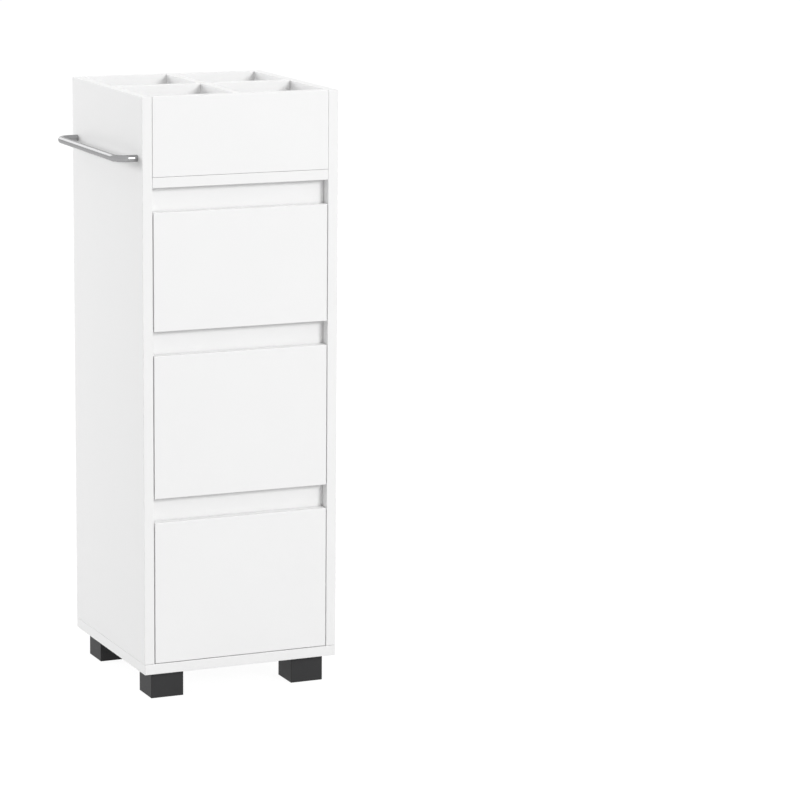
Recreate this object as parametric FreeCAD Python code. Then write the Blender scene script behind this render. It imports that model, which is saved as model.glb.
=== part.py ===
import FreeCAD, Part
import os
from math import sqrt

# Driving sizes, in millimetres. The cabinet stands on the floor at zero height and faces -Y.
width = 300.0  # over the two sides
depth = 300.0  # front edges to rear edges
board = 15.0  # carcass boards and drawer fronts
thin_board = 12.0  # drawer boxes, tray dividers and tray back
hardboard = 3.0  # back panel and drawer bottoms

tray_height = 115.0  # tray floor to rim
low_front_height = 208.75  # lower and middle drawer
top_front_height = 171.5  # upper drawer
grip_gap = 35.0  # finger gap above each drawer front
front_side_gap = 1.2
front_bottom_gap = 1.0
divider_lap_play = 0.1  # each side of a board in the half lap

grip_rail_gap = 2.0  # drawer front to the rail behind it
grip_rail_low_lap = 12.0  # rail behind the top of the front below
grip_rail_high_lap = 8.0  # rail behind the foot of the front above

groove_depth = 6.0
groove_side_play = 0.2
groove_end_play = 0.5
back_groove_inset = 9.0  # rear edge to the back panel

box_lift = 19.0  # drawer box above the lower edge of its front
box_headroom = 27.5  # drawer box below the grip rail
box_rear_room = 20.0  # drawer box to the back panel
box_bottom_rise = 10.0  # drawer bottom above the lower edge of its sides
box_back_inset = 8.0  # drawer sides past the drawer back
dado_depth = 4.0

foot_height = 40.0
foot_side = 50.0
foot_setback = 15.0
foot_wall = 2.5
foot_corner = 1.0
foot_boss = 14.0  # diameter
foot_boss_recess = 8.0  # boss end above the floor

towel_rail_diameter = 10.0
towel_rail_inset = 22.0  # centre of a leg to the nearer edge of the side panel
towel_rail_reach = 30.0  # centre of the bar to the side panel
towel_rail_bend = 18.0
towel_rail_rise = 26.0  # above the tray floor
towel_rail_tap_depth = 13.0

runner_space = 13.0  # each side of a drawer box
runner_sheet = 1.2
runner_bend = 0.6  # inner radius
runner_setback = 2.0  # drawer front to the runner's end
runner_lip_rise = 12.8  # lip above the lower edge of the drawer box
runner_lip_headroom = 0.8
runner_lip_overhang = 0.5  # lip past the roller
runner_flange = 11.0  # under the drawer side

roller_diameter = 16.0
roller_width = 5.5
roller_edge = 0.6
roller_track_play = 0.3
roller_bore_play = 0.05
roller_side_play = 0.2
roller_front_inset = 12.0
roller_rear_inset = 10.0
axle_diameter = 4.0
axle_shoulder = 8.0  # diameter
axle_head = 7.0  # diameter
axle_head_height = 0.7
axle_head_play = 0.3

fit_play = 0.05  # round every dowel, cam, bolt and screw
dowel_diameter = 6.0
dowel_length = 30.0
dowel_in_face = 11.0
dowel_end_room = 0.5
bottom_dowel_spacing = 120.0
tray_dowel_spacing = 160.0
tray_dowel_rise = 57.5  # above the tray floor
grip_rail_dowel_drop = 14.0

cam_diameter = 15.0
cam_depth = 12.0
drawer_cam_diameter = 12.0
drawer_cam_depth = 9.5
cam_setback = 24.0  # joint to the cam's centre
cam_pocket_room = 0.5
cam_bolt_in_face = 11.0
cam_bolt_thread = 5.0  # diameter
cam_bolt_shank = 6.0  # diameter
tray_cam_inset = 50.0
grip_rail_cam_raise = 10.0
drawer_cam_drop = 40.0

carcass_screw_diameter = 5.0
carcass_screw_length = 50.0
carcass_screw_head = 9.0
carcass_screw_head_height = 2.5
carcass_screw_spacing = 220.0
foot_screw_diameter = 4.0
foot_screw_bite = 12.0  # into the bottom panel
towel_screw_diameter = 4.0
towel_screw_bite = 12.0  # into the bar
screw_head = 8.0
screw_head_height = 2.5
runner_screw_diameter = 3.5
runner_screw_length = 11.0
runner_screw_head = 6.4
runner_screw_head_height = 1.4
runner_screw_front_inset = 35.0
runner_screw_rear_inset = 60.0

# Planes that the pieces share.
V = FreeCAD.Vector
LEFT, RIGHT = -1, 1
SIDES = {"left": LEFT, "right": RIGHT}
ENDS = (-0.5, 0.5)
LEVELS = ("lower", "middle", "upper")
same_place = 0.001  # points closer than this are one
x_axis, y_axis, z_axis = V(1, 0, 0), V(0, 1, 0), V(0, 0, 1)

x_outer = width / 2
x_inner = x_outer - board
x_edge = x_outer - board / 2
y_front = -depth / 2
y_rear = depth / 2
y_front_inside = y_front + board
y_back_panel = y_rear - back_groove_inset - hardboard
y_tray_back = y_rear - thin_board
y_cross = (y_front_inside + y_tray_back) / 2
z_bottom = foot_height
z_floor = z_bottom + board

front_height = dict(zip(LEVELS, (low_front_height, low_front_height, top_front_height)))
front_foot = {}
z_next = z_floor + front_bottom_gap
for level in LEVELS:
    front_foot[level] = z_next
    z_next += front_height[level] + grip_gap
z_tray_under = z_next
z_tray_floor = z_tray_under + board
z_rim = z_tray_floor + tray_height
z_towel = z_tray_floor + towel_rail_rise
y_towel_leg = y_rear - towel_rail_inset

front_head = {level: front_foot[level] + front_height[level] for level in LEVELS}
grip_rail_foot = {level: front_head[level] - grip_rail_low_lap for level in LEVELS}
grip_rail_head = {level: front_head[level] + grip_gap + grip_rail_high_lap for level in LEVELS}
grip_rail_head["upper"] = z_tray_under
y_grip_rail = y_front_inside + grip_rail_gap

x_box = x_inner - runner_space
x_box_inner = x_box - thin_board
y_box_rear = y_back_panel - box_rear_room
y_box_back = y_box_rear - box_back_inset - thin_board
box_foot = {level: front_foot[level] + box_lift for level in LEVELS}
box_head = {level: grip_rail_foot[level] - box_headroom for level in LEVELS}

# Distances from the carcass side towards the drawer, for the parts of a runner.
u_web = runner_space - runner_sheet
u_roller_near = u_web - axle_head_play - axle_head_height - roller_side_play
u_roller_far = u_roller_near - roller_width
u_lip = u_roller_far - runner_lip_overhang
y_runner = y_front_inside + runner_setback
y_front_roller = y_runner + roller_front_inset
y_rear_roller = y_box_rear - roller_rear_inset
y_lip_end = y_rear_roller - roller_diameter / 2 - runner_setback
y_runner_screws = (y_runner + runner_screw_front_inset, y_box_rear - runner_screw_rear_inset)
x_runner_screw = x_box - (thin_board - groove_depth) / 2
roller_rise = runner_lip_rise - roller_track_play - roller_diameter / 2
channel_floor = roller_rise - roller_diameter / 2 - roller_track_play
channel_ceiling = runner_lip_rise + runner_sheet + runner_lip_headroom


def block(x, y, z):
    """Box between two values along each axis, given in either order."""
    low = V(min(x), min(y), min(z))
    size = V(max(x), max(y), max(z)) - low
    return Part.makeBox(size.x, size.y, size.z, low)


def rod(start, direction, length, diameter):
    return Part.makeCylinder(diameter / 2, length, start, direction)


def cut(solid, tools):
    """The solid less every tool that comes near it."""
    near = [tool for tool in tools if tool.BoundBox.intersect(solid.BoundBox)]
    return solid.cut(near).Solids[0] if near else solid


def fuse(first, *others):
    return first.fuse(list(others)).removeSplitter().Solids[0]


def runs_along(edge, axis):
    """True for an edge whose two ends lie on a line parallel to the axis."""
    ends = [vertex.Point for vertex in edge.Vertexes]
    return len(ends) == 2 and (ends[1] - ends[0]).cross(axis).Length < same_place


def round_bends(solid, corners, radius):
    """Fillet the edges along Y whose x and z are one of the corners."""
    bends = []
    for edge in solid.Edges:
        at = edge.Vertexes[0].Point
        is_corner = any(V(x, at.y, z).isEqual(at, same_place) for x, z in corners)
        if is_corner and runs_along(edge, y_axis):
            bends.append(edge)
    return solid.makeFillet(radius, bends)


class Fasteners:
    """Fasteners of one kind, and the bores that they need in the boards."""

    def __init__(self):
        self.solids = []
        self.bores = []

    def dowel(self, joint, into_edge):
        bore_start = joint - into_edge * (dowel_in_face + dowel_end_room)
        bore_length = dowel_length + 2 * dowel_end_room
        self.solids.append(rod(joint - into_edge * dowel_in_face, into_edge, dowel_length, dowel_diameter))
        self.bores.append(rod(bore_start, into_edge, bore_length, dowel_diameter + 2 * fit_play))

    def cam(self, joint, into_edge, out_of_face, thickness, diameter, cut_depth):
        """Bolt from a board's face into the edge of the next board, and the cam that draws it in."""
        mouth = joint + into_edge * cam_setback + out_of_face * (thickness / 2)
        thread_start = joint - into_edge * cam_bolt_in_face
        pocket = rod(joint, into_edge, cam_setback + cam_pocket_room, cam_bolt_shank + 2 * fit_play)
        thread = rod(thread_start, into_edge, cam_bolt_in_face, cam_bolt_thread)
        shank = rod(joint, into_edge, cam_setback, cam_bolt_shank)
        self.solids.append(thread.fuse(shank).Solids[0])
        self.solids.append(cut(rod(mouth, -out_of_face, cut_depth, diameter), [pocket]))
        self.bores.append(rod(thread_start, into_edge, cam_bolt_in_face, cam_bolt_thread + 2 * fit_play))
        self.bores.append(rod(mouth, -out_of_face, cut_depth, diameter + 2 * fit_play))
        self.bores.append(pocket)

    def pan_screw(self, seat, direction, length, diameter, head, head_height):
        cap = rod(seat, -direction, head_height, head)
        self.solids.append(fuse(rod(seat, direction, length, diameter), cap))
        self.bores.append(rod(seat, direction, length, diameter + 2 * fit_play))

    def flush_screw(self, seat, direction, length, diameter, head, head_height):
        """Countersunk screw with its head level with the face."""
        for store, play in ((self.solids, 0), (self.bores, fit_play)):
            cone = Part.makeCone(head / 2 + play, diameter / 2 + play, head_height, seat, direction)
            store.append(fuse(rod(seat, direction, length, diameter + 2 * play), cone))


def carcass_dowels():
    dowels = Fasteners()
    for side in SIDES.values():
        inward = x_axis * -side
        for end in ENDS:
            dowels.dowel(V(side * x_edge, end * bottom_dowel_spacing, z_floor), z_axis)
        for y in (y_front + board / 2, y_rear - thin_board / 2):
            dowels.dowel(V(side * x_inner, y, z_tray_floor + tray_dowel_rise), inward)
            dowels.dowel(V(side * tray_dowel_spacing / 2, y, z_tray_floor), z_axis)
        for level in LEVELS:
            z_middle = (grip_rail_foot[level] + grip_rail_head[level]) / 2
            dowels.dowel(V(side * x_inner, y_grip_rail + board / 2, z_middle - grip_rail_dowel_drop), inward)
    return dowels


def carcass_cam_fittings():
    cams = Fasteners()
    for side in SIDES.values():
        inward = x_axis * -side
        for y in (y_front + tray_cam_inset, y_rear - tray_cam_inset):
            joint = V(side * x_inner, y, z_tray_under + board / 2)
            cams.cam(joint, inward, -z_axis, board, cam_diameter, cam_depth)
        for level in LEVELS:
            z_middle = (grip_rail_foot[level] + grip_rail_head[level]) / 2
            joint = V(side * x_inner, y_grip_rail + board / 2, z_middle + grip_rail_cam_raise)
            cams.cam(joint, inward, y_axis, board, cam_diameter, cam_depth)
    return cams


def carcass_screws():
    """Screws up through the bottom panel into the lower edges of the sides."""
    screws = Fasteners()
    for side in SIDES.values():
        for end in ENDS:
            seat = V(side * x_edge, end * carcass_screw_spacing, z_bottom)
            screws.flush_screw(seat, z_axis, carcass_screw_length, carcass_screw_diameter,
                               carcass_screw_head, carcass_screw_head_height)
    return screws


def foot_centres():
    x = x_outer - foot_setback - foot_side / 2
    y = y_rear - foot_setback - foot_side / 2
    return {"front_left": V(-x, -y), "front_right": V(x, -y), "rear_left": V(-x, y), "rear_right": V(x, y)}


def foot_screws():
    screws = Fasteners()
    length = foot_height - foot_boss_recess + foot_screw_bite
    for centre in foot_centres().values():
        screws.pan_screw(centre + z_axis * foot_boss_recess, z_axis, length, foot_screw_diameter,
                         screw_head, screw_head_height)
    return screws


def towel_rail_screws():
    """Screws from inside the tray through the left side into the ends of the bar."""
    screws = Fasteners()
    for y in (-y_towel_leg, y_towel_leg):
        seat = V(LEFT * x_inner, y, z_towel)
        screws.pan_screw(seat, x_axis * LEFT, board + towel_screw_bite, towel_screw_diameter,
                         screw_head, screw_head_height)
    return screws


def runner_screws():
    """Screws through the cabinet runners into the sides."""
    screws = Fasteners()
    for side in SIDES.values():
        for level in LEVELS:
            for y in y_runner_screws:
                seat = V(side * (x_inner - runner_sheet), y, box_foot[level] + roller_rise)
                screws.pan_screw(seat, x_axis * side, runner_screw_length, runner_screw_diameter,
                                 runner_screw_head, runner_screw_head_height)
    return screws


def drawer_fasteners(level):
    """Cam fittings behind the front, and the screws up through the drawer runners."""
    fasteners = Fasteners()
    for side in SIDES.values():
        joint = V(side * (x_box - thin_board / 2), y_front_inside, box_head[level] - drawer_cam_drop)
        fasteners.cam(joint, y_axis, x_axis * -side, thin_board, drawer_cam_diameter, drawer_cam_depth)
        for y in y_runner_screws:
            seat = V(side * x_runner_screw, y, box_foot[level] - runner_sheet)
            fasteners.pan_screw(seat, z_axis, runner_screw_length, runner_screw_diameter,
                                runner_screw_head, runner_screw_head_height)
    return fasteners


def back_groove():
    """Groove round the back panel, which the boards on its four edges share."""
    x = x_inner + groove_depth
    y = (y_back_panel, y_back_panel + hardboard + groove_side_play)
    return block((-x, x), y, (z_floor - groove_depth, z_tray_under + groove_depth))


def side_panel(side):
    return block((side * x_inner, side * x_outer), (y_front, y_rear), (z_floor, z_rim))


def bottom_panel():
    return block((-x_outer, x_outer), (y_front, y_rear), (z_bottom, z_floor))


def tray_floor():
    return block((-x_inner, x_inner), (y_front, y_rear), (z_tray_under, z_tray_floor))


def tray_front_panel():
    return block((-x_inner, x_inner), (y_front, y_front_inside), (z_tray_floor, z_rim))


def tray_back_panel():
    return block((-x_inner, x_inner), (y_tray_back, y_rear), (z_tray_floor, z_rim))


def grip_rail(level):
    y = (y_grip_rail, y_grip_rail + board)
    return block((-x_inner, x_inner), y, (grip_rail_foot[level], grip_rail_head[level]))


def back_panel():
    x = x_inner + groove_depth - groove_end_play
    z = (z_floor - groove_depth, z_tray_under + groove_depth - groove_end_play)
    return block((-x, x), (y_back_panel, y_back_panel + hardboard), z)


def tray_long_divider():
    """Divider from front to back, slotted from its top edge."""
    half = thin_board / 2
    slot = half + divider_lap_play
    z_lap = (z_tray_floor + z_rim) / 2
    divider = block((-half, half), (y_front_inside, y_tray_back), (z_tray_floor, z_rim))
    return cut(divider, [block((-half, half), (y_cross - slot, y_cross + slot), (z_lap, z_rim))])


def tray_cross_divider():
    """Divider from side to side, slotted from its lower edge."""
    half = thin_board / 2
    slot = half + divider_lap_play
    z_lap = (z_tray_floor + z_rim) / 2
    divider = block((-x_inner, x_inner), (y_cross - half, y_cross + half), (z_tray_floor, z_rim))
    return cut(divider, [block((-slot, slot), (y_cross - half, y_cross + half), (z_tray_floor, z_lap))])


def foot(centre):
    """Moulded foot, open below, with a screw boss and ribs under its top plate."""
    half = foot_side / 2
    x = (centre.x - half, centre.x + half)
    y = (centre.y - half, centre.y + half)
    shell = block(x, y, (0, foot_height))
    uprights = [edge for edge in shell.Edges if runs_along(edge, z_axis)]
    shell = shell.makeFillet(foot_corner, uprights)
    inner = half - foot_wall
    hollow_x = (centre.x - inner, centre.x + inner)
    hollow_y = (centre.y - inner, centre.y + inner)
    hollow = block(hollow_x, hollow_y, (0, foot_height - foot_wall))
    rib = foot_wall / 2
    rib_z = (foot_boss_recess + foot_wall, foot_height - foot_wall)
    rib_across = block(hollow_x, (centre.y - rib, centre.y + rib), rib_z)
    rib_along = block((centre.x - rib, centre.x + rib), hollow_y, rib_z)
    boss_start = centre + z_axis * foot_boss_recess
    boss = rod(boss_start, z_axis, foot_height - foot_boss_recess, foot_boss)
    hole = rod(boss_start, z_axis, foot_height - foot_boss_recess, foot_screw_diameter + 2 * fit_play)
    return cut(fuse(cut(shell, [hollow]), boss, rib_across, rib_along), [hole])


def towel_rail():
    """Round bar bent to a U, tapped in both ends."""
    x_bend = -x_outer - towel_rail_reach + towel_rail_bend
    x_bar = -x_outer - towel_rail_reach
    y_leg = y_towel_leg
    y_bend = y_leg - towel_rail_bend
    diagonal = towel_rail_bend / sqrt(2)
    path = []
    path.append(Part.LineSegment(V(-x_outer, -y_leg, z_towel), V(x_bend, -y_leg, z_towel)))
    path.append(Part.Arc(V(x_bend, -y_leg, z_towel), V(x_bend - diagonal, -y_bend - diagonal, z_towel),
                         V(x_bar, -y_bend, z_towel)))
    path.append(Part.LineSegment(V(x_bar, -y_bend, z_towel), V(x_bar, y_bend, z_towel)))
    path.append(Part.Arc(V(x_bar, y_bend, z_towel), V(x_bend - diagonal, y_bend + diagonal, z_towel),
                         V(x_bend, y_leg, z_towel)))
    path.append(Part.LineSegment(V(x_bend, y_leg, z_towel), V(-x_outer, y_leg, z_towel)))
    spine = Part.Wire([piece.toShape() for piece in path])
    section = Part.Wire(Part.makeCircle(towel_rail_diameter / 2, V(-x_outer, -y_leg, z_towel), x_axis))
    bar = spine.makePipeShell([section], True, True)
    tap = towel_screw_diameter + 2 * fit_play
    taps = [rod(V(-x_outer, y, z_towel), -x_axis, towel_rail_tap_depth, tap) for y in (-y_leg, y_leg)]
    return cut(bar, taps)


def sheet_section(side, y, corners):
    """Straight sheet-metal section between two values of y, from corners given as (u, z)."""
    points = [V(side * (x_inner - u), y[0], z) for u, z in corners]
    face = Part.Face(Part.makePolygon(points + points[:1]))
    return face.extrude(y_axis * (y[1] - y[0]))


def stub_axle(side, y, z, u_plate, u_shoulder, u_head):
    """Riveted axle: a shoulder from the plate to the roller, a journal through it and a flat head."""
    across = x_axis * (side if u_plate > u_head else -side)
    stages = ((u_plate, u_shoulder, axle_shoulder), (u_shoulder, u_head, axle_diameter))
    pieces = [rod(V(side * (x_inner - u), y, z), across, abs(end - u), size) for u, end, size in stages]
    pieces.append(rod(V(side * (x_inner - u_head), y, z), across, axle_head_height, axle_head))
    return pieces


def cabinet_runner(level, side):
    """Channel on the carcass side, with the axle of the front roller."""
    t = runner_sheet
    reach = u_roller_near
    low = box_foot[level] + channel_floor - t
    high = box_foot[level] + channel_ceiling + t
    corners = [(0, low), (reach, low), (reach, low + t), (t, low + t),
               (t, high - t), (reach, high - t), (reach, high), (0, high)]
    channel = sheet_section(side, (y_runner, y_box_rear), corners)
    inner = [(side * (x_inner - t), z) for z in (low + t, high - t)]
    outer = [(side * x_inner, z) for z in (low, high)]
    channel = round_bends(round_bends(channel, inner, runner_bend), outer, runner_bend + t)
    z_axle = box_foot[level] + roller_rise
    u_shoulder = u_roller_far - roller_side_play
    u_head = u_roller_near + roller_side_play
    return fuse(channel, *stub_axle(side, y_front_roller, z_axle, t, u_shoulder, u_head))


def drawer_runner(level, side):
    """Angle under the drawer side, whose lip rolls on the front roller, with the rear roller's axle."""
    t = runner_sheet
    foot_z = box_foot[level]
    lip_z = foot_z + runner_lip_rise
    far = runner_space + runner_flange
    corners = [(u_web, foot_z - t), (far, foot_z - t), (far, foot_z), (runner_space, foot_z),
               (runner_space, lip_z + t), (u_lip, lip_z + t), (u_lip, lip_z), (u_web, lip_z)]
    angle = sheet_section(side, (y_runner, y_box_rear), corners)
    lip_tail = block((side * (x_inner - u_lip), side * (x_inner - u_web)), (y_lip_end, y_box_rear),
                     (lip_z, lip_z + t))
    angle = cut(angle, [lip_tail])
    angle = round_bends(angle, [(side * (x_inner - u_web), foot_z - t)], runner_bend + t)
    z_axle = foot_z + roller_rise
    u_shoulder = u_roller_near + roller_side_play
    u_head = u_roller_far - roller_side_play
    return fuse(angle, *stub_axle(side, y_rear_roller, z_axle, u_web, u_shoulder, u_head))


def roller(level, side, y):
    """Nylon roller with eased rims, running on its axle."""
    start = V(side * (x_inner - u_roller_far), y, box_foot[level] + roller_rise)
    inward = x_axis * -side
    wheel = rod(start, inward, roller_width, roller_diameter)
    rims = [edge for edge in wheel.Edges if len(edge.Vertexes) == 1]
    wheel = wheel.makeChamfer(roller_edge, rims)
    return cut(wheel, [rod(start, inward, roller_width, axle_diameter + 2 * roller_bore_play)])


def drawer_front(level):
    x = x_inner - front_side_gap
    return block((-x, x), (y_front, y_front_inside), (front_foot[level], front_head[level]))


def drawer_side(level, side):
    return block((side * x_box_inner, side * x_box), (y_front_inside, y_box_rear),
                 (box_foot[level], box_head[level]))


def drawer_grooves(level):
    """Groove round the drawer bottom and the housings of the drawer back."""
    x = x_box_inner + groove_depth
    z_low = box_foot[level] + box_bottom_rise
    z_high = z_low + hardboard + groove_side_play
    bottom = block((-x, x), (y_front_inside - groove_depth, y_box_rear), (z_low, z_high))
    x_dado = x_box_inner + dado_depth
    y_dado = (y_box_back, y_box_back + thin_board + groove_side_play)
    return [bottom, block((-x_dado, x_dado), y_dado, (z_low, box_head[level]))]


def drawer_back(level):
    x = x_box_inner + dado_depth
    z_low = box_foot[level] + box_bottom_rise + hardboard
    return block((-x, x), (y_box_back, y_box_back + thin_board), (z_low, box_head[level]))


def drawer_bottom(level):
    x = x_box_inner + groove_depth - groove_end_play
    y = (y_front_inside - groove_depth + groove_end_play, y_box_back + thin_board)
    z_low = box_foot[level] + box_bottom_rise
    return block((-x, x), y, (z_low, z_low + hardboard))


def save(name, solids):
    Part.makeCompound(solids).exportStep(f"parts/{name}.step")


os.makedirs("parts", exist_ok=True)

fixings = {
    "carcass_dowels": carcass_dowels(),
    "carcass_cam_fittings": carcass_cam_fittings(),
    "carcass_screws": carcass_screws(),
    "foot_screws": foot_screws(),
    "towel_rail_screws": towel_rail_screws(),
    "runner_screws": runner_screws(),
}
carcass_cuts = [bore for kind in fixings.values() for bore in kind.bores] + [back_groove()]
for name, kind in fixings.items():
    save(name, kind.solids)

boards = {
    "bottom_panel": bottom_panel(),
    "tray_floor": tray_floor(),
    "tray_front_panel": tray_front_panel(),
    "tray_back_panel": tray_back_panel(),
}
boards.update({f"{name}_side_panel": side_panel(side) for name, side in SIDES.items()})
boards.update({f"{level}_grip_rail": grip_rail(level) for level in LEVELS})
for name, solid in boards.items():
    save(name, [cut(solid, carcass_cuts)])

save("back_panel", [back_panel()])
save("tray_long_divider", [tray_long_divider()])
save("tray_cross_divider", [tray_cross_divider()])
save("towel_rail", [towel_rail()])
for name, centre in foot_centres().items():
    save(f"{name}_foot", [foot(centre)])

for level in LEVELS:
    fasteners = drawer_fasteners(level)
    drawer_cuts = fasteners.bores + drawer_grooves(level)
    save(f"{level}_drawer_fasteners", fasteners.solids)
    save(f"{level}_drawer_front", [cut(drawer_front(level), drawer_cuts)])
    save(f"{level}_drawer_back", [drawer_back(level)])
    save(f"{level}_drawer_bottom", [drawer_bottom(level)])
    save(f"{level}_front_rollers", [roller(level, side, y_front_roller) for side in SIDES.values()])
    save(f"{level}_rear_rollers", [roller(level, side, y_rear_roller) for side in SIDES.values()])
    for name, side in SIDES.items():
        save(f"{level}_drawer_{name}_side", [cut(drawer_side(level, side), drawer_cuts)])
        save(f"{level}_{name}_cabinet_runner", [cut(cabinet_runner(level, side), carcass_cuts)])
        save(f"{level}_{name}_drawer_runner", [cut(drawer_runner(level, side), drawer_cuts)])
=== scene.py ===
from math import radians, tau

import bmesh
import bpy
from mathutils import Matrix, Vector


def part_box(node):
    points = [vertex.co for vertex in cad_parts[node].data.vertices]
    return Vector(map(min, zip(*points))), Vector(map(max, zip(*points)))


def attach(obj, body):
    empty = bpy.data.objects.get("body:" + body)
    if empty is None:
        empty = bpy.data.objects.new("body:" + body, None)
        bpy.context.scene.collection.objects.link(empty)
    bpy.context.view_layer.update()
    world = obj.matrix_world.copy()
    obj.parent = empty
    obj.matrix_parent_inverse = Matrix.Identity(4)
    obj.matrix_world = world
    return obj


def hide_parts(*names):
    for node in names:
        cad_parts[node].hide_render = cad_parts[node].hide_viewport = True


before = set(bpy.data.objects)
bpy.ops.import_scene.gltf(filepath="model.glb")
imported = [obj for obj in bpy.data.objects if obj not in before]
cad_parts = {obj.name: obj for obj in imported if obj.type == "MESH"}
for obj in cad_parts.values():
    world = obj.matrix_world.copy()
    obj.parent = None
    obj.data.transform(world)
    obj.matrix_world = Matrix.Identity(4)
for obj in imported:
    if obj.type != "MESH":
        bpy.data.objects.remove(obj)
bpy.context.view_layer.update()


# The bottom panel carries the whole cabinet. It is chipboard faced on both sides with white
# melamine, edge-banded all round, and drilled for the screws and dowels of the side panels.
class Shade:
    """An output in a shader tree. Arithmetic on it adds Math nodes to that tree."""

    def __init__(self, tree, output=None):
        self.tree = tree
        self.output = output

    def node(self, kind, settings=None, sockets=None, output=0):
        """Add a node: its settings first, then the values or links of its sockets."""
        made = self.tree.nodes.new("ShaderNode" + kind)
        for name, value in (settings or {}).items():
            setattr(made, name, value)
        for name, value in (sockets or {}).items():
            if isinstance(value, Shade):
                self.tree.links.new(value.output, made.inputs[name])
            else:
                made.inputs[name].default_value = value
        return Shade(self.tree, made.outputs[output] if made.outputs else None)

    def maths(self, operation, first, second):
        return self.node("Math", {"operation": operation}, {0: first, 1: second})

    def __add__(self, other):
        return self.maths("ADD", self, other)

    def __mul__(self, other):
        return self.maths("MULTIPLY", self, other)

    __radd__ = __add__
    __rmul__ = __mul__


def finish(name, lay):
    """A material whose nodes are laid from the piece's own coordinates, in metres."""
    material = bpy.data.materials.new(name)
    material.use_nodes = True
    material.node_tree.nodes.clear()
    tree = Shade(material.node_tree)
    surface = lay(tree, tree.node("TexCoord", output="Object"))
    tree.node("OutputMaterial", {}, {"Surface": surface})
    return material


def noise(tree, place, grain, detail=2.0):
    """Soft random pattern from 0 to 1 whose blots are about the grain's size."""
    return tree.node("TexNoise", {}, {"Vector": place, "Scale": 1 / grain, "Detail": detail})


def two_tone(tree, share, dark, light):
    """Colour between two tones. The Mix node knows its colour sockets by these numbers."""
    factor, first, second, mixed = 0, 6, 7, 2
    tones = {factor: share, first: (*dark, 1.0), second: (*light, 1.0)}
    return tree.node("Mix", {"data_type": "RGBA"}, tones, mixed)


def relief(tree, height, depth):
    """Fine bumps of the height pattern, as deep as the depth in metres."""
    return tree.node("Bump", {}, {"Strength": 1.0, "Distance": depth, "Height": height})


def melamine_layers(tree, place, tone=0.885):
    """White foil with a faint pearl, whose grey varies from the tone upwards."""
    spread = 0.03
    cloud = noise(tree, place, grain=0.11)
    pearl = noise(tree, place, grain=0.0011)
    colour = two_tone(tree, cloud * 0.6 + pearl * 0.4,
                      dark=(tone,) * 3, light=(tone + spread,) * 3)
    return tree.node("BsdfPrincipled", {}, {
        "Base Color": colour,
        "Roughness": 0.36 + 0.12 * cloud,
        "Normal": relief(tree, pearl, depth=0.000012),
    })


def edge_band_layers(tree, place):
    cloud = noise(tree, place, grain=0.05)
    rolled = noise(tree, place, grain=0.0006)
    colour = two_tone(tree, cloud, dark=(0.89, 0.89, 0.888), light=(0.91, 0.91, 0.909))
    return tree.node("BsdfPrincipled", {}, {
        "Base Color": colour,
        "Roughness": 0.30 + 0.10 * rolled,
        "Normal": relief(tree, rolled, depth=0.000006),
    })


def chipboard_layers(tree, place):
    chips_per_metre = 520.0
    chips = tree.node("TexVoronoi", {}, {"Vector": place, "Scale": chips_per_metre}, "Color")
    chip_tone = tree.node("SeparateColor", {}, {"Color": chips})
    dust = noise(tree, place, grain=0.0007)
    colour = two_tone(tree, chip_tone * 0.7 + dust * 0.3,
                      dark=(0.36, 0.25, 0.15), light=(0.66, 0.52, 0.35))
    return tree.node("BsdfPrincipled", {}, {
        "Base Color": colour,
        "Roughness": 0.80 + 0.15 * dust,
        "Normal": relief(tree, chip_tone, depth=0.00015),
    })


BOARD_FINISHES = (
    finish("white_melamine", melamine_layers),
    finish("white_edge_band", edge_band_layers),
    finish("raw_chipboard", chipboard_layers),
)
FACE, BAND, RAW = range(len(BOARD_FINISHES))
AXES = range(3)
SAME_POINT = 0.000002
SAME_PLANE = 0.00005
NEARLY_FLAT = radians(1.0)


def solid_copy(node):
    """The node's triangles merged into one closed mesh with whole flat faces."""
    mesh = bmesh.new()
    mesh.from_mesh(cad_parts[node].data)
    bmesh.ops.remove_doubles(mesh, verts=mesh.verts, dist=SAME_POINT)
    bmesh.ops.dissolve_limit(mesh, angle_limit=NEARLY_FLAT, verts=mesh.verts, edges=mesh.edges)
    mesh.normal_update()
    return mesh


def thin_axis(low, high):
    """The axis across a board, along which its box is shortest."""
    return min(AXES, key=lambda axis: high[axis] - low[axis])


def level_with(point, side, axis):
    return abs(point[axis] - side[axis]) < SAME_PLANE


def shared_sides(points, low, high):
    """Axes along which all the points lie in the same outer side of a box."""
    return [axis for axis in AXES for side in (low, high)
            if all(level_with(point, side, axis) for point in points)]


def ease(mesh, edges, width, segments=2):
    """Round edges off by a small width."""
    bmesh.ops.bevel(mesh, geom=edges, offset=width, offset_type="OFFSET", affect="EDGES",
                    segments=segments, profile=0.5, material=-1)


def finished_object(name, mesh, finishes):
    """An object of the mesh, with the finishes in its material slots."""
    data = bpy.data.meshes.new(name)
    mesh.to_mesh(data)
    mesh.free()
    for material in finishes:
        data.materials.append(material)
    made = bpy.data.objects.new(name, data)
    bpy.context.scene.collection.objects.link(made)
    return made


def fit_piece(name, mesh, finishes, body, slot, *nodes):
    """Make an object of the mesh and fit it to its body in place of the nodes."""
    piece = finished_object(name, mesh, finishes)
    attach(piece, body)
    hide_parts(*nodes)
    return piece


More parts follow.
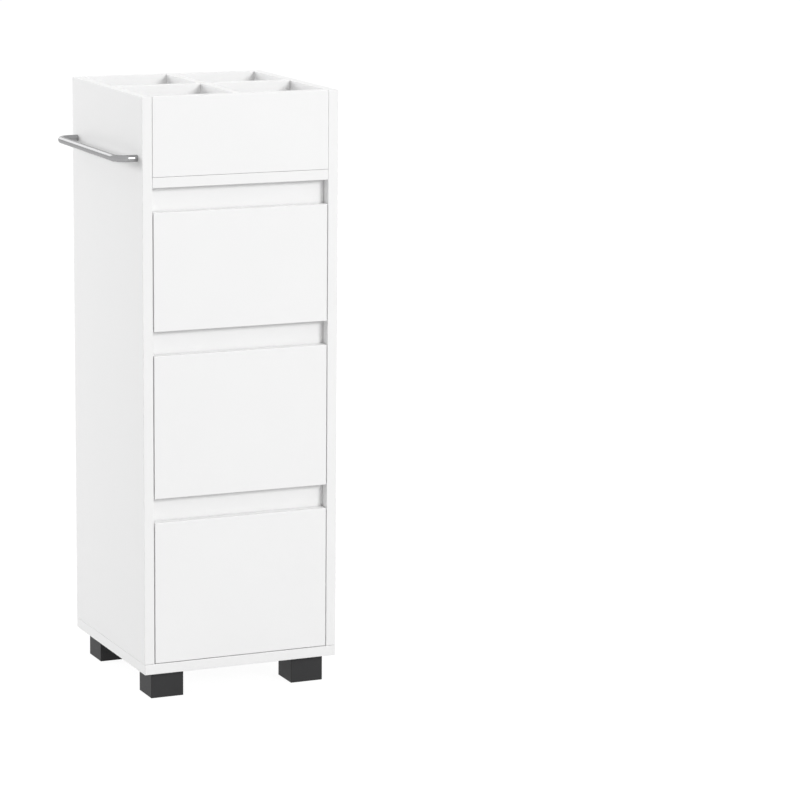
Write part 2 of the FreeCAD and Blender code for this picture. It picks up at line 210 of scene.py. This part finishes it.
def banded_board(node, body, hairline=0.0002, finishes=BOARD_FINISHES):
    """The node's board with eased arrises: foil on its faces, band on its edges, raw in its cuts.

    Its edges stand back by the hairline that shows where two boards meet.
    """
    eased = 0.0006
    mesh = solid_copy(node)
    low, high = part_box(node)
    thickness = thin_axis(low, high)
    for face in mesh.faces:
        sides = shared_sides([vert.co for vert in face.verts], low, high)
        if not sides:
            face.material_index = RAW
        else:
            face.material_index = FACE if sides[0] == thickness else BAND
    arrises = []
    for edge in mesh.edges:
        if len(shared_sides([vert.co for vert in edge.verts], low, high)) == 2:
            arrises.append(edge)
    for axis in AXES:
        if axis != thickness:
            step = Vector([hairline if other == axis else 0.0 for other in AXES])
            for side, inwards in ((low, step), (high, -step)):
                edge_verts = [vert for vert in mesh.verts if level_with(vert.co, side, axis)]
                bmesh.ops.translate(mesh, verts=edge_verts, vec=inwards)
    ease(mesh, arrises, eased)
    fit_piece(f"{node}_banded", mesh, finishes, body, "white_board", node)


banded_board("bottom_panel", "cabinet")


# The four feet are square hollow mouldings in charcoal plastic, open below, with a boss and ribs
# inside. Their outer walls have the fine spark texture of the mould and a small round at the rim.
def moulded_plastic_layers(tree, place):
    spark = noise(tree, place, grain=0.0008, detail=3.0)
    flow = noise(tree, place, grain=0.03)
    colour = two_tone(tree, flow * 0.7 + spark * 0.3,
                      dark=(0.018, 0.018, 0.019), light=(0.028, 0.028, 0.029))
    return tree.node("BsdfPrincipled", {}, {
        "Base Color": colour,
        "Roughness": 0.46 + 0.16 * spark,
        "Specular IOR Level": 0.3,
        "Normal": relief(tree, spark, depth=0.00003),
    })


CHARCOAL_PLASTIC = finish("charcoal_plastic", moulded_plastic_layers)


def shade_softly(mesh, crease=radians(35.0)):
    """Smooth shading, kept crisp at every edge that turns more than the crease."""
    for face in mesh.faces:
        face.smooth = True
    for edge in mesh.edges:
        edge.smooth = edge.calc_face_angle(tau) < crease


def hold_flats(piece):
    """Keep the flat faces of a softly shaded piece flat to the light."""
    weighted = piece.modifiers.new("flat_faces", "WEIGHTED_NORMAL")
    weighted.keep_sharp = True


def moulded_foot(node):
    """The node's foot with a round at the outer rim that stands on the floor."""
    rim_round = 0.0006
    outer_skin = 0.001
    mesh = solid_copy(node)
    low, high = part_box(node)
    middle = (low + high) / 2
    outer_rim = []
    for edge in mesh.edges:
        ends = [vert.co for vert in edge.verts]
        at_floor = all(abs(end.z - low.z) < SAME_PLANE for end in ends)
        reach = min(max(abs(end.x - middle.x), abs(end.y - middle.y)) for end in ends)
        below_skin = high.x - middle.x - reach
        if at_floor and below_skin < outer_skin:
            outer_rim.append(edge)
    ease(mesh, outer_rim, rim_round, segments=3)
    shade_softly(mesh)
    foot = fit_piece(f"{node}_moulding", mesh, [CHARCOAL_PLASTIC], "cabinet", "foot_plastic", node)
    hold_flats(foot)


for corner in ("front_left", "front_right", "rear_left", "rear_right"):
    moulded_foot(f"{corner}_foot")


# Zinc-plated screws hold the feet from inside, and countersunk ones come up through the bottom
# panel into the sides. Their heads are cold-formed with an eased rim and a cross for the driver.
def zinc_layers(tree, place):
    passivation = noise(tree, place, grain=0.004)
    drawing = noise(tree, place, grain=0.0005)
    colour = two_tone(tree, passivation, dark=(0.56, 0.57, 0.58), light=(0.70, 0.70, 0.68))
    return tree.node("BsdfPrincipled", {}, {
        "Base Color": colour,
        "Metallic": 1.0,
        "Roughness": 0.26 + 0.16 * passivation,
        "Normal": relief(tree, drawing, depth=0.000008),
    })


ZINC = finish("zinc_plate", zinc_layers)
FACING = 0.9


def of_kind(parts, kind):
    """The vertices, edges or faces among the parts that an operator gives back."""
    return [part for part in parts if isinstance(part, kind)]


def sink_cross(mesh, cap):
    """Sink a driver's cross into a flat round cap and ease the rim round it."""
    centre = cap.calc_center_median()
    out = cap.normal.copy()
    along = out.orthogonal().normalized()
    aside = out.cross(along)
    radius = max((vert.co - centre).length for vert in cap.verts)
    rim_round = 0.14 * radius
    rim_width = 0.24 * radius
    half_reach = 0.56 * radius
    half_arm = 0.15 * radius
    depth = 0.30 * radius
    narrowing = 0.8
    rim = list(cap.edges)
    bmesh.ops.inset_individual(mesh, faces=[cap], thickness=rim_width)
    pieces = [cap]
    for direction in (along, aside):
        for distance in (-half_reach, -half_arm, half_arm, half_reach):
            around = [part for face in pieces for part in (face, *face.edges, *face.verts)]
            halves = bmesh.ops.bisect_plane(mesh, geom=list(dict.fromkeys(around)),
                                            dist=SAME_POINT, plane_no=direction,
                                            plane_co=centre + direction * distance)
            pieces = of_kind(halves["geom"], bmesh.types.BMFace)
    cross = []
    for face in pieces:
        from_centre = face.calc_center_median() - centre
        offsets = sorted(abs(from_centre.dot(direction)) for direction in (along, aside))
        if offsets[0] < half_arm and offsets[1] < half_reach:
            cross.append(face)
    floor = bmesh.ops.extrude_face_region(mesh, geom=cross)["geom"]
    sunk = of_kind(floor, bmesh.types.BMVert)
    bmesh.ops.delete(mesh, geom=cross, context="FACES")
    bmesh.ops.translate(mesh, verts=sunk, vec=-out * depth)
    taper = Matrix.Scale(narrowing, 4, along) @ Matrix.Scale(narrowing, 4, aside)
    bmesh.ops.transform(mesh, verts=sunk, matrix=taper, space=Matrix.Translation(-centre))
    ease(mesh, rim, rim_round)


def driven_fasteners(node, body, is_cap):
    """The node's screws and cams with a cross in each round cap that the test picks out."""
    few_corners = 8
    mesh = solid_copy(node)
    caps = [face for face in mesh.faces if len(face.verts) > few_corners and is_cap(face)]
    for cap in caps:
        sink_cross(mesh, cap)
    shade_softly(mesh)
    fasteners = fit_piece(f"{node}_driven", mesh, [ZINC], body, "fastener_steel", node)
    hold_flats(fasteners)


def faces_down(face):
    return face.normal.z < -FACING


driven_fasteners("foot_screws", "cabinet", faces_down)
driven_fasteners("carcass_screws", "cabinet", faces_down)


# The two side panels stand on the bottom panel and run up to the rim of the tray. They are the
# same melamine board, with bands on all edges and a groove behind for the back panel. Their
# joints stay open by a hairline that shows.
OPEN_JOINT = 0.0004
for side in ("left", "right"):
    banded_board(f"{side}_side_panel", "cabinet", hairline=OPEN_JOINT)


# Fluted beech dowels, glued into both boards, locate the joints of the carcass. They are turned
# from straight-grained sticks and are hidden once the boards are drawn together.
def beech_layers(tree, place):
    long_grain = (1.0, 1.0, 0.12)
    stretched = tree.node("Mapping", {}, {"Vector": place, "Scale": long_grain})
    grain = noise(tree, stretched, grain=0.0009, detail=4.0)
    flecks = noise(tree, stretched, grain=0.0003)
    colour = two_tone(tree, grain, dark=(0.60, 0.42, 0.25), light=(0.80, 0.62, 0.42))
    return tree.node("BsdfPrincipled", {}, {
        "Base Color": colour,
        "Roughness": 0.55 + 0.20 * flecks,
        "Normal": relief(tree, grain, depth=0.00005),
    })


BEECH = finish("plain_beech", beech_layers)
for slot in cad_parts["carcass_dowels"].material_slots:
    slot.material = BEECH


# A grip rail stands behind each finger gap. It is a strip of board whose white foil is painted
# greyer than the other boards, as painted shade in the recess behind the gap. It is dowelled and
# cammed between the sides, and it closes the gap and stiffens the carcass.
# The lower tone is painted shade for the recess, not a different foil.
def recess_shade_foil_layers(tree, place):
    return melamine_layers(tree, place, tone=0.85)


GRIP_SHADED_FINISHES = (finish("grip_rail_shaded_melamine", recess_shade_foil_layers), *BOARD_FINISHES[BAND:])
LEVELS = ("lower", "middle", "upper")
for level in LEVELS:
    banded_board(f"{level}_grip_rail", "cabinet", finishes=GRIP_SHADED_FINISHES)


# Cams of cast zinc lie flush under the tray floor and behind the grip rails. Each one turns on a
# steel bolt screwed into the side panel and pulls the joint tight.
def cam_mouth(face):
    return face.normal.y > FACING or faces_down(face)


driven_fasteners("carcass_cam_fittings", "cabinet", cam_mouth)


# The back panel is thin hardboard, lacquered white, and slides into grooves in the four boards
# round it before the tray floor goes on. Its edges show the bare brown fibre.
def lacquered_hardboard_layers(tree, place):
    fibre = noise(tree, place, grain=0.004, detail=5.0)
    cloud = noise(tree, place, grain=0.09)
    colour = two_tone(tree, fibre * 0.5 + cloud * 0.5,
                      dark=(0.86, 0.86, 0.85), light=(0.90, 0.90, 0.893))
    return tree.node("BsdfPrincipled", {}, {
        "Base Color": colour,
        "Roughness": 0.46 + 0.16 * fibre,
        "Normal": relief(tree, fibre, depth=0.00005),
    })


def bare_fibre_layers(tree, place):
    fibre = noise(tree, place, grain=0.0012, detail=6.0)
    colour = two_tone(tree, fibre, dark=(0.17, 0.10, 0.055), light=(0.34, 0.22, 0.13))
    return tree.node("BsdfPrincipled", {}, {
        "Base Color": colour,
        "Roughness": 0.78 + 0.18 * fibre,
        "Normal": relief(tree, fibre, depth=0.0001),
    })


HARDBOARD_FINISHES = (
    finish("lacquered_hardboard", lacquered_hardboard_layers),
    finish("bare_hardboard_fibre", bare_fibre_layers),
)
LACQUERED, BARE = range(len(HARDBOARD_FINISHES))


def hardboard_panel(node, body):
    """The node's thin panel, lacquered on its two faces and bare on its sawn edges."""
    eased = 0.0002
    mesh = solid_copy(node)
    thickness = thin_axis(*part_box(node))
    for face in mesh.faces:
        across = abs(face.normal[thickness])
        face.material_index = LACQUERED if across > FACING else BARE
    ease(mesh, mesh.edges[:], eased, segments=1)
    fit_piece(f"{node}_lacquered", mesh, HARDBOARD_FINISHES, body, "white_hardboard", node)


hardboard_panel("back_panel", "cabinet")


# The open tray on top has a floor between the sides, a front and a back on that floor, and a
# cross of two thin dividers, slotted half and half into each other.
for part in ("floor", "back_panel", "long_divider", "cross_divider"):
    banded_board(f"tray_{part}", "cabinet")
banded_board("tray_front_panel", "cabinet", hairline=OPEN_JOINT)


# The towel rail is one round bar of satin stainless steel, bent cold to a U and tapped in both
# ends. Fine polishing lines run round the bar.
def satin_steel_layers(tree, place):
    close_lines = (1.0, 6.0, 1.0)
    lines = tree.node("Mapping", {}, {"Vector": place, "Scale": close_lines})
    polish = noise(tree, lines, grain=0.0016, detail=3.0)
    haze = noise(tree, place, grain=0.02)
    colour = two_tone(tree, haze, dark=(0.33, 0.33, 0.335), light=(0.39, 0.39, 0.395))
    return tree.node("BsdfPrincipled", {}, {
        "Base Color": colour,
        "Metallic": 1.0,
        "Specular Tint": (0.72, 0.72, 0.72, 1.0),
        "Roughness": 0.15 + 0.06 * polish,
        "Normal": relief(tree, polish, depth=0.0000015),
    })


SATIN_STEEL = finish("satin_steel", satin_steel_layers)


def bent_bar(node):
    """A ring run out along the front leg, round both bends, and back along the rear leg."""
    diameter = 0.010
    bend_radius = 0.018
    round_steps = 40
    bend_steps = 16
    quarter = tau / 4
    low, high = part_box(node)
    height = (low.z + high.z) / 2
    leg_y = high.y - diameter / 2
    bend_x = low.x + diameter / 2 + bend_radius
    bend_y = leg_y - bend_radius
    mesh = bmesh.new()
    facing_side = Matrix.Rotation(quarter, 4, "Y")
    front_end = Matrix.Translation((high.x, -leg_y, height)) @ facing_side
    bmesh.ops.create_circle(mesh, cap_ends=False, segments=round_steps, radius=diameter / 2,
                            matrix=front_end)

    def run_on(ring, step):
        grown = bmesh.ops.extrude_edge_only(mesh, edges=ring)["geom"]
        bmesh.ops.translate(mesh, verts=of_kind(grown, bmesh.types.BMVert), vec=step)
        return of_kind(grown, bmesh.types.BMEdge)

    def turn_round(ring, centre):
        around = dict.fromkeys(vert for edge in ring for vert in edge.verts)
        last = bmesh.ops.spin(mesh, geom=ring + list(around), cent=centre, axis=(0, 0, 1),
                              angle=-quarter, steps=bend_steps, use_merge=False)["geom_last"]
        return of_kind(last, bmesh.types.BMEdge)

    ring = run_on(mesh.edges[:], Vector((bend_x - high.x, 0, 0)))
    ring = turn_round(ring, (bend_x, -bend_y, height))
    ring = run_on(ring, Vector((0, 2 * bend_y, 0)))
    ring = turn_round(ring, (bend_x, bend_y, height))
    run_on(ring, Vector((high.x - bend_x, 0, 0)))
    open_ends = [edge for edge in mesh.edges if edge.is_boundary]
    bmesh.ops.holes_fill(mesh, edges=open_ends, sides=0)
    bmesh.ops.remove_doubles(mesh, verts=mesh.verts, dist=SAME_POINT)
    bmesh.ops.recalc_face_normals(mesh, faces=mesh.faces)
    shade_softly(mesh)
    fit_piece(f"{node}_bar", mesh, [SATIN_STEEL], "cabinet", "rail_steel", node)


bent_bar("towel_rail")


# Two pan-head screws pass through the left side from inside the tray into the ends of the bar.
# They are the same zinc-plated steel as the other screws.
def faces_right(face):
    return face.normal.x > FACING


driven_fasteners("towel_rail_screws", "cabinet", faces_right)


# A roll-formed steel channel is screwed to each side panel at every level, with a riveted axle at
# its front end. It is coated with white epoxy powder, which leaves a fine orange-peel skin.
def epoxy_layers(tree, place):
    peel = noise(tree, place, grain=0.0022)
    film = noise(tree, place, grain=0.03)
    colour = two_tone(tree, film, dark=(0.83, 0.83, 0.82), light=(0.88, 0.88, 0.87))
    return tree.node("BsdfPrincipled", {}, {
        "Base Color": colour,
        "Roughness": 0.28 + 0.12 * film,
        "Normal": relief(tree, peel, depth=0.00003),
    })


WHITE_EPOXY = finish("white_epoxy", epoxy_layers)


def formed_steel(node, body):
    """The node's runner, softly shaded round its bends."""
    mesh = solid_copy(node)
    shade_softly(mesh)
    runner = fit_piece(f"{node}_coated", mesh, [WHITE_EPOXY], body, "runner_steel", node)
    hold_flats(runner)


def faces_inward(face):
    return face.normal.x * face.calc_center_median().x < 0 and abs(face.normal.x) > FACING


for level in LEVELS:
    for side in ("left", "right"):
        formed_steel(f"{level}_{side}_cabinet_runner", "cabinet")
driven_fasteners("runner_screws", "cabinet", faces_inward)


# Nylon rollers turn on the axles, one pair at the front of the cabinet and one at the rear of each
# drawer. They are moulded with a dished web between the hub and the rim.
def nylon_layers(tree, place):
    milk = noise(tree, place, grain=0.006)
    wear = noise(tree, place, grain=0.0009)
    colour = two_tone(tree, milk, dark=(0.78, 0.78, 0.74), light=(0.86, 0.86, 0.83))
    return tree.node("BsdfPrincipled", {}, {
        "Base Color": colour,
        "Roughness": 0.34 + 0.16 * wear,
        "Normal": relief(tree, wear, depth=0.00002),
    })


NYLON = finish("natural_nylon", nylon_layers)


def roller_pair(node, body):
    """Two rollers on one axis, each a profile of bore, hub, dished web and rim spun round it."""
    width = 0.0055
    bore = 0.00205
    hub = 0.0036
    web = 0.0062
    dish = 0.0008
    slope = 0.0003
    rim_edge = 0.0006
    turn_steps = 48
    low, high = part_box(node)
    centre = (low + high) / 2
    radius = (high.z - low.z) / 2
    half = width / 2
    face_profile = [
        (half, bore), (half, hub), (half - dish, hub + slope), (half - dish, web - slope),
        (half, web), (half, radius - rim_edge), (half - rim_edge, radius),
    ]
    outline = face_profile + [(-across, up) for across, up in reversed(face_profile)]
    mesh = bmesh.new()
    for middle in (low.x + half, high.x - half):
        ring = [mesh.verts.new((middle + across, centre.y, centre.z + up))
                for across, up in outline]
        loop = [mesh.edges.new(ends) for ends in zip(ring, ring[1:] + ring[:1])]
        bmesh.ops.spin(mesh, geom=ring + loop, cent=centre, axis=(1, 0, 0), angle=tau,
                       steps=turn_steps, use_merge=True)
    bmesh.ops.remove_doubles(mesh, verts=mesh.verts, dist=SAME_POINT)
    bmesh.ops.recalc_face_normals(mesh, faces=mesh.faces)
    shade_softly(mesh)
    rollers = fit_piece(f"{node}_turned", mesh, [NYLON], body, "roller_nylon", node)
    hold_flats(rollers)


for level in LEVELS:
    roller_pair(f"{level}_front_rollers", f"{level}_front_roller_pair")
    roller_pair(f"{level}_rear_rollers", f"{level}_rear_roller_pair")


# Each drawer is a box of thinner melamine board: two sides, a back housed between them, and a
# thick front that overlaps the box and has no handle.
for level in LEVELS:
    for part in ("front", "left_side", "right_side", "back"):
        banded_board(f"{level}_drawer_{part}", f"{level}_drawer")


# The drawer bottom is the same lacquered hardboard as the back panel. It slides under the drawer
# back into grooves in the sides and the front.
for level in LEVELS:
    hardboard_panel(f"{level}_drawer_bottom", f"{level}_drawer")


# A coated steel angle under each drawer side rolls on the front roller with its lip, and carries
# the rear roller on a riveted axle.
for level in LEVELS:
    for side in ("left", "right"):
        formed_steel(f"{level}_{side}_drawer_runner", f"{level}_drawer")


# Cams in the drawer sides hold the front, and short pan-head screws from below hold the runners.
# Both are zinc, with a cross for the driver.
def drawer_cap(face):
    return faces_down(face) or faces_inward(face)


for level in LEVELS:
    driven_fasteners(f"{level}_drawer_fasteners", f"{level}_drawer", drawer_cap)


# The cabinet stands on a plain pale floor that runs on as the backdrop. The camera sees it near
# to white, and it still takes the soft shadow of the cabinet.
PURE_WHITE = (1.0, 1.0, 1.0, 1.0)


def is_seen(tree):
    """1 for rays straight from the camera, or by way of a mirror or glass."""
    return sum(tree.node("LightPath", output=kind)
               for kind in ("Is Camera Ray", "Is Glossy Ray", "Is Transmission Ray"))


def pale_floor_layers(tree, place):
    glow_strength = 1.25
    glow_share = 0.76
    speckle = noise(tree, place, grain=0.02)
    colour = two_tone(tree, speckle, dark=(0.46, 0.46, 0.46), light=(0.50, 0.50, 0.50))
    matt = tree.node("BsdfPrincipled", {}, {"Base Color": colour, "Roughness": 0.9})
    glow = tree.node("Emission", {}, {"Color": PURE_WHITE, "Strength": glow_strength})
    return tree.node("MixShader", {}, {0: is_seen(tree) * glow_share, 1: matt, 2: glow})


floor_reach = 40.0
floor_drop = 0.0001
floor_mesh = bmesh.new()
bmesh.ops.create_grid(floor_mesh, x_segments=1, y_segments=1, size=floor_reach,
                      matrix=Matrix.Translation((0, 0, -floor_drop)))
floor = finished_object("pale_floor", floor_mesh, [finish("pale_floor", pale_floor_layers)])


# Soft studio light: an even dome, a large soft lamp to the right of the camera, one at the rear
# left and a weaker one on the right that lift the sides, one behind that lines the rail, and a
# weak one overhead.
world = bpy.data.worlds.new("studio")
world.use_nodes = True
world.node_tree.nodes.clear()
sky = Shade(world.node_tree)
dome = 0.6
strength = dome + (1 - dome) * is_seen(sky)
backdrop = sky.node("Background", {}, {"Color": PURE_WHITE, "Strength": strength})
sky.node("OutputWorld", {}, {"Surface": backdrop})
bpy.context.scene.world = world
cabinet_middle = Vector((0.0, 0.0, 0.45))


def soft_lamp(name, place, width, power, mirrored=True):
    """A round diffuser aimed at the cabinet. The bright metal mirrors it, or it only fills."""
    lamp = bpy.data.lights.new(name, "AREA")
    lamp.shape = "DISK"
    lamp.size = width
    lamp.energy = power
    stand = bpy.data.objects.new(name, lamp)
    stand.location = place
    stand.visible_glossy = mirrored
    aim = cabinet_middle - stand.location
    stand.rotation_euler = aim.to_track_quat("-Z", "Y").to_euler()
    bpy.context.scene.collection.objects.link(stand)


soft_lamp("key_lamp", (2.75, -8.0, 3.7), width=2.8, power=380.0)
soft_lamp("side_lamp", (-4.0, 3.4, 1.85), width=1.7, power=124.0, mirrored=False)
soft_lamp("fill_lamp", (5.2, 2.2, 1.2), width=4.4, power=70.0, mirrored=False)
soft_lamp("back_lamp", (-0.8, 4.5, 2.45), width=2.4, power=20.0)
soft_lamp("top_lamp", (0.0, 0.0, 5.0), width=2.0, power=18.0, mirrored=False)
bpy.context.scene.view_settings.view_transform = "Standard"


# The camera stands in front of the cabinet to its left, higher than its top, and looks down on it
# a little through a long lens. Its place and angles fit the cabinet's edges in the photograph.
camera_data = bpy.data.cameras.new("camera")
camera_data.lens = 158.69
camera_data.sensor_width = 36.0
camera_data.clip_end = 100.0
camera = bpy.data.objects.new("camera", camera_data)
looks_level = 90.0
looks_down = 11.055
stand_point = Matrix.Translation((-1.8489, -4.7998, 1.4147))
turn = Matrix.Rotation(radians(-24.308), 4, "Z")
tilt = Matrix.Rotation(radians(looks_level - looks_down), 4, "X")
roll = Matrix.Rotation(radians(0.513), 4, "Z")
camera.matrix_world = stand_point @ turn @ tilt @ roll
bpy.context.scene.collection.objects.link(camera)
bpy.context.scene.camera = camera
